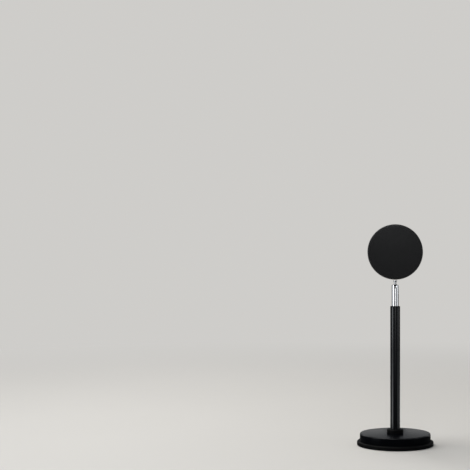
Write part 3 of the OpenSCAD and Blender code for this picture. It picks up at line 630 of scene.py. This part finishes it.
class LAMP_OT_foot(bpy.types.Operator):
    """Makes the foot: soft pad, moulded tray and painted cover"""
    bl_idname = "lamp.foot"
    bl_label = "Foot"

    def execute(self, context):
        sizes = context.scene.lamp_sizes
        self.make_pad(sizes)
        self.make_tray(sizes)
        self.make_cover(sizes)
        return {"FINISHED"}

    def make_pad(self, sizes):
        """Flat pad with a rounded lower edge"""
        outline = [(0, 0), (PAD_R, 0, 0.4), (PAD_R, PAD_TOP), (0, PAD_TOP)]
        pad = add_mesh("soft_pad", turned(outline, sizes, closed=False))
        dress(pad, "pad_rubber", "stand", "pad_rubber", "foot_pad")

    def make_tray(self, sizes):
        """Tray with a boss for the bolt, a recess for its head and a ring inside the cover's skirt"""
        recess_r, recess_top = 9.3, 5.9
        boss_r, floor_z = 11.1, 3.0
        pad_edge = PAD_R + 0.3
        ring_r, ring_in = COVER_R - 1.65, COVER_R - 3.25
        tray = add_mesh("moulded_tray", turned([
            (BOLT_HOLE_R, recess_top), (recess_r, recess_top), (recess_r, PAD_TOP), (pad_edge, PAD_TOP),
            (pad_edge, TRAY_Z, 0.2), (TRAY_R, TRAY_Z, 0.4), (TRAY_R, RIM_Z, sizes.tray_edge / MM),
            (ring_r, RIM_Z), (ring_r, RING_TOP, 0.3), (ring_in, RING_TOP, 0.3), (ring_in, floor_z),
            (boss_r, floor_z), (boss_r, BOSS_TOP), (BOLT_HOLE_R, BOSS_TOP)], sizes))
        dress(tray, "moulded", "stand", "black_plastic", "base_tray")

    def make_cover(self, sizes):
        """Pressed cover with a slightly crowned top and a round shoulder"""
        crown, edge = sizes.cover_crown / MM, sizes.cover_edge / MM
        wall, skirt_in, seat_r = 2, COVER_R - 1.6, 8
        sphere = sphere_of(COVER_R, crown)
        bm = new_shape()
        last = wire_dome(bm, FOOT_TOP, sphere, math.asin((COVER_R - edge - 0.5) / sphere), steps=24)
        wire_outline(bm, [
            (COVER_R, FOOT_TOP - crown, edge), (COVER_R, RIM_Z, 0.3), (skirt_in, RIM_Z, 0.2),
            (skirt_in, FOOT_TOP - wall - crown), (seat_r, FOOT_TOP - wall), (seat_r, BOSS_TOP, 0.2),
            (0, BOSS_TOP)], False, sizes.edge_steps, last)
        turn(bm, sizes.steps)
        cover = add_mesh("painted_cover", bm)
        cut_away(cover, rod(BOLT_HOLE_R, 0, FOOT_TOP + 2))
        dress(cover, "cover_paint", "stand", "black_paint", "base_cover")


class LAMP_OT_pole(bpy.types.Operator):
    """Makes the pole, the collar at its foot and the black cap on its top"""
    bl_idname = "lamp.pole"
    bl_label = "Pole"

    def execute(self, context):
        sizes = context.scene.lamp_sizes
        tube_in = POLE_R - 1
        tube = add_mesh("painted_pole", turned([
            (tube_in, FOOT_TOP), (POLE_R, FOOT_TOP, 0.1), (POLE_R, POLE_TOP, 0.15), (tube_in, POLE_TOP)],
            sizes, steps=POLE_STEPS))
        dress(tube, "paint", "stand", "black_paint", "pole_tube")
        collar_in = POLE_R + 0.05
        collar = add_mesh("foot_collar", turned([
            (collar_in, FOOT_TOP), (COLLAR_R, FOOT_TOP, 0.2),
            (COLLAR_R, COLLAR_TOP, sizes.collar_edge / MM), (collar_in, COLLAR_TOP, 0.2)],
            sizes, steps=POLE_STEPS))
        dress(collar, "moulded", "stand", "black_plastic", "pole_collar")
        thread_r, plug_r, plug_end = 2.55, tube_in - 0.05, POLE_TOP - 14
        cap = add_mesh("pole_end_cap", turned([
            (thread_r, plug_end), (plug_r, plug_end), (plug_r, POLE_TOP), (POLE_R, POLE_TOP, 0.1),
            (POLE_R, CAP_TOP, 0.4), (thread_r, CAP_TOP)], sizes, steps=POLE_STEPS))
        dress(cap, "moulded", "stand", "black_plastic", "pole_top_cap")
        return {"FINISHED"}


class LAMP_OT_ball_joint(bpy.types.Operator):
    """Makes the slotted chrome socket and the ball with its flared stud"""
    bl_idname = "lamp.ball_joint"
    bl_label = "Ball joint"

    def execute(self, context):
        sizes = context.scene.lamp_sizes
        self.make_socket(sizes)
        stud = add_mesh("ball_and_stud", self.ball_stud(sizes))
        dress(stud, "chrome", "stud", "chrome", "ball_stud", sharp=50)
        return {"FINISHED"}

    def make_socket(self, sizes):
        """Tube whose mouth is drawn in over the ball, with a slot for the neck"""
        bore, lip = BALL_R + 0.1, BALL_R - 0.2
        socket = add_mesh("slotted_socket", turned([
            (bore, SOCKET_Z), (SOCKET_R, SOCKET_Z, 0.3), (SOCKET_R, SOCKET_TOP, 0.3),
            (lip + 0.25, SOCKET_TOP, 0.1), (lip, BALL_Z + 1.3, 0.15), (BALL_R + 0.02, BALL_Z + 0.6),
            (bore, BALL_Z)], sizes, steps=SOCKET_STEPS))
        cut_away(socket, self.slot_shape())
        dress(socket, "chrome", "socket", "chrome", "ball_socket", sharp=50)

    def slot_shape(self):
        """U-shaped cutter for the slot towards -Y, round about the ball's centre"""
        half = NECK_R + 0.3
        arc_r = half * 0.999    # a hair less, so that the two arcs keep a short edge between them
        top = SOCKET_TOP - BALL_Z + 1
        bm = bmesh.new()
        corners = [bm.verts.new((x * MM, 0, z * MM)) for x, z in
                   ((-half, -half), (half, -half), (half, top), (-half, top))]
        for pair in zip(corners, corners[1:] + corners[:1]):
            bm.edges.new(pair)
        bmesh.ops.bevel(bm, geom=corners[:2], offset=arc_r * MM, offset_type="OFFSET", segments=12,
                        profile=0.5, affect="VERTICES", material=-1, clamp_overlap=False)
        face = bmesh.ops.contextual_create(bm, geom=bm.edges[:])["faces"]
        moved = bmesh.ops.extrude_face_region(bm, geom=face)["geom"]
        bmesh.ops.translate(bm, verts=[item for item in moved if isinstance(item, bmesh.types.BMVert)],
                            vec=(0, -(SOCKET_R + 1) * MM, 0))
        bmesh.ops.recalc_face_normals(bm, faces=bm.faces)
        bmesh.ops.translate(bm, verts=bm.verts, vec=(0, 0, BALL_Z * MM))
        return bm

    def ball_stud(self, sizes):
        """Ball, thin neck, flare and stud as one turned body"""
        neck_end = BALL_Z + SOCKET_R + 0.6
        flare_top = UNDERSIDE + 0.25
        bm = new_shape()
        last = wire_dome(bm, BALL_Z - BALL_R, -BALL_R, -(math.pi - math.asin(NECK_R / BALL_R)), steps=36)
        wire_outline(bm, [
            (NECK_R, neck_end, 0.3), (STUD_R, neck_end + 0.5, 0.3), (STUD_R, flare_top - 2.3, 0.5),
            (FLARE_R, flare_top - 0.5, 0.12), (FLARE_R, flare_top, 0.15), (STUD_R, flare_top),
            (STUD_R, STUD_TOP, 0.4), (0, STUD_TOP)], False, sizes.edge_steps, last)
        turn(bm, JOINT_STEPS)
        return bm


class LAMP_OT_head_shell(bpy.types.Operator):
    """Makes the head's shell: grooved barrel, plain rear cap and front bezel"""
    bl_idname = "lamp.head_shell"
    bl_label = "Head shell"

    def execute(self, context):
        sizes = context.scene.lamp_sizes
        self.make_barrel(sizes)
        self.make_rear_cap(sizes)
        self.make_front_ring(sizes)
        return {"FINISHED"}

    def make_barrel(self, sizes):
        """Barrel with four cooling grooves, and seats and holes for the stud and the gland"""
        small, bottom = sizes.broken_edge / MM, HEAD_R - sizes.groove_depth / MM
        first, pitch, width = BARREL_Y + 4, 3, 1.2
        grooves = []
        for y in [first + index * pitch for index in range(4)]:
            grooves += [(HEAD_R, y, small), (bottom, y, small), (bottom, y + width, small),
                        (HEAD_R, y + width, small)]
        sink_y = BARREL_Y + 9
        barrel = add_mesh("grooved_barrel", lay_on_beam(turned(
            [(REAR_BORE_R, BARREL_Y), (HEAD_R, BARREL_Y, SEAM)] + grooves +
            [(HEAD_R, BEZEL_Y, SEAM), (BORE_R, BEZEL_Y), (BORE_R, sink_y), (REAR_BORE_R, sink_y)], sizes)))
        inside = UNDERSIDE + 6
        cut_away(barrel,
                 rod(FLARE_R + 1, UNDERSIDE - 1, UNDERSIDE + 0.3),
                 rod(STUD_R + 0.05, UNDERSIDE - 2, inside),
                 rod(GLAND_R + 0.4, UNDERSIDE - 1, UNDERSIDE + 0.5, GLAND_Y),
                 rod(3.55, UNDERSIDE - 2, inside, GLAND_Y))
        dress(barrel, "head_coat", "head", "black_alloy", "head_barrel")

    def make_rear_cap(self, sizes):
        """Plain cap with a slightly crowned face and a spigot inside the barrel"""
        crown = sizes.head_crown / MM
        sphere = sphere_of(HEAD_R, crown)
        spigot_r, spigot_in, spigot_end = REAR_BORE_R - 0.05, REAR_BORE_R - 2.05, BARREL_Y + 5
        floor_y = REAR_Y + 2.5
        bm = new_shape()
        last = wire_dome(bm, REAR_Y, -sphere, -math.asin((HEAD_R - 3) / sphere), steps=16)
        wire_outline(bm, [
            (HEAD_R, REAR_Y + crown, sizes.head_edge / MM), (HEAD_R, BARREL_Y, SEAM), (spigot_r, BARREL_Y),
            (spigot_r, spigot_end, 0.2), (spigot_in, spigot_end, 0.2), (spigot_in, floor_y),
            (0, floor_y)], False, sizes.edge_steps, last)
        turn(bm, sizes.steps)
        cap = add_mesh("plain_rear_cap", lay_on_beam(bm))
        dress(cap, "head_coat", "head", "black_alloy", "rear_cap")

    def make_front_ring(self, sizes):
        """Bezel that holds the lens in the barrel's front"""
        small = sizes.broken_edge / MM
        lens_bore, spigot_r = LENS_R + 0.05, BORE_R - 0.05
        ring = add_mesh("front_ring", lay_on_beam(turned([
            (lens_bore, BEZEL_IN_Y), (spigot_r, BEZEL_IN_Y), (spigot_r, BEZEL_Y), (HEAD_R, BEZEL_Y, SEAM),
            (HEAD_R, FRONT_Y, sizes.head_edge / MM), (WINDOW_R + 1, FRONT_Y, small),
            (WINDOW_R, FRONT_Y - 1, small), (WINDOW_R, GASKET_END), (lens_bore, GASKET_END)], sizes)))
        dress(ring, "head_coat", "head", "black_alloy", "front_bezel")


class LAMP_OT_optics(bpy.types.Operator):
    """Makes the domed front lens with its seal, and the lit colour filter"""
    bl_idname = "lamp.optics"
    bl_label = "Lens and filter"

    def execute(self, context):
        sizes = context.scene.lamp_sizes
        self.make_lens(sizes)
        seal = add_mesh("lens_seal", lay_on_beam(turned([
            (WINDOW_R, GASKET_Y, 0.2), (LENS_R, GASKET_Y), (LENS_R, GASKET_END),
            (WINDOW_R, GASKET_END, 0.2)], sizes)))
        dress(seal, "pad_rubber", "head", "pad_rubber", "lens_gasket")
        glass = add_mesh("sunset_filter", lay_on_beam(turned([
            (0, FILTER_Y), (FILTER_R, FILTER_Y, 0.2), (FILTER_R, FILTER_END, 0.2), (0, FILTER_END)],
            sizes, closed=False)))
        dress(glass, "amber_glass", "head", "amber_glass", "colour_filter")
        return {"FINISHED"}

    def make_lens(self, sizes):
        """Lens with a domed front inside a flat rim"""
        dome_r = LENS_R - 3
        sphere = sphere_of(dome_r, DOME_Y - GASKET_Y)
        bm = new_shape()
        last = wire_dome(bm, DOME_Y, sphere, math.asin(dome_r / sphere), steps=24)
        wire_outline(bm, [(LENS_R, GASKET_Y, 0.25), (LENS_R, LENS_Y, 0.25), (0, LENS_Y)], False,
                     sizes.edge_steps, last)
        turn(bm, sizes.steps)
        lens = add_mesh("domed_glass", lay_on_beam(bm))
        dress(lens, "clear_glass", "head", "clear_glass", "front_lens", sharp=20)


class LAMP_OT_gland(bpy.types.Operator):
    """Makes the rubber gland in the head's underside"""
    bl_idname = "lamp.gland"
    bl_label = "Cable gland"

    def execute(self, context):
        bore, neck, barb, barb_tip = 1.8, 3.5, 4.4, 4.0
        flange_top, neck_top = GLAND_Z + 1.5, UNDERSIDE + 5
        bm = turned([
            (bore, GLAND_Z, 0.5), (GLAND_R, GLAND_Z, 0.6), (GLAND_R, flange_top), (neck, flange_top),
            (neck, neck_top), (barb, neck_top), (barb_tip, GLAND_TOP, 0.2), (bore, GLAND_TOP)],
            context.scene.lamp_sizes, steps=JOINT_STEPS)
        bmesh.ops.translate(bm, verts=bm.verts, vec=(0, GLAND_Y * MM, 0))
        gland = add_mesh("rubber_gland", bm)
        dress(gland, "pad_rubber", "head", "pad_rubber", "cable_gland")
        return {"FINISHED"}


class LAMP_PT_panel(bpy.types.Panel):
    """Builds the lamp piece by piece"""
    bl_label = "Sunset lamp"
    bl_idname = "LAMP_PT_panel"
    bl_space_type = "VIEW_3D"
    bl_region_type = "UI"
    bl_category = "Lamp"

    def draw(self, context):
        for name in GROUPS:
            group = getattr(context.scene, name)
            box = self.layout.box()
            for setting in group.__annotations__:
                box.prop(group, setting)
        for operator in OPERATORS:
            self.layout.operator(operator.bl_idname)


OPERATORS = (LAMP_OT_stage, LAMP_OT_hidden_parts, LAMP_OT_foot, LAMP_OT_pole, LAMP_OT_ball_joint,
             LAMP_OT_head_shell, LAMP_OT_optics, LAMP_OT_gland)
GROUPS = {"lamp_sizes": LampSizes, "lamp_colours": LampColours, "stage_settings": StageSettings}


def register():
    """Registers the classes and gives the scene its settings"""
    for group in (*GROUPS.values(), *OPERATORS, LAMP_PT_panel):
        bpy.utils.register_class(group)
    for name, group in GROUPS.items():
        setattr(bpy.types.Scene, name, PointerProperty(type=group))


def unregister():
    """Takes the settings and the classes away again"""
    for name in GROUPS:
        delattr(bpy.types.Scene, name)
    for group in (LAMP_PT_panel, *OPERATORS[::-1], *GROUPS.values()):
        bpy.utils.unregister_class(group)


def main():
    """Builds the stage and every piece"""
    register()
    for operator in OPERATORS:
        family, name = operator.bl_idname.split(".")
        getattr(getattr(bpy.ops, family), name)()


if __name__ == "__main__":
    main()
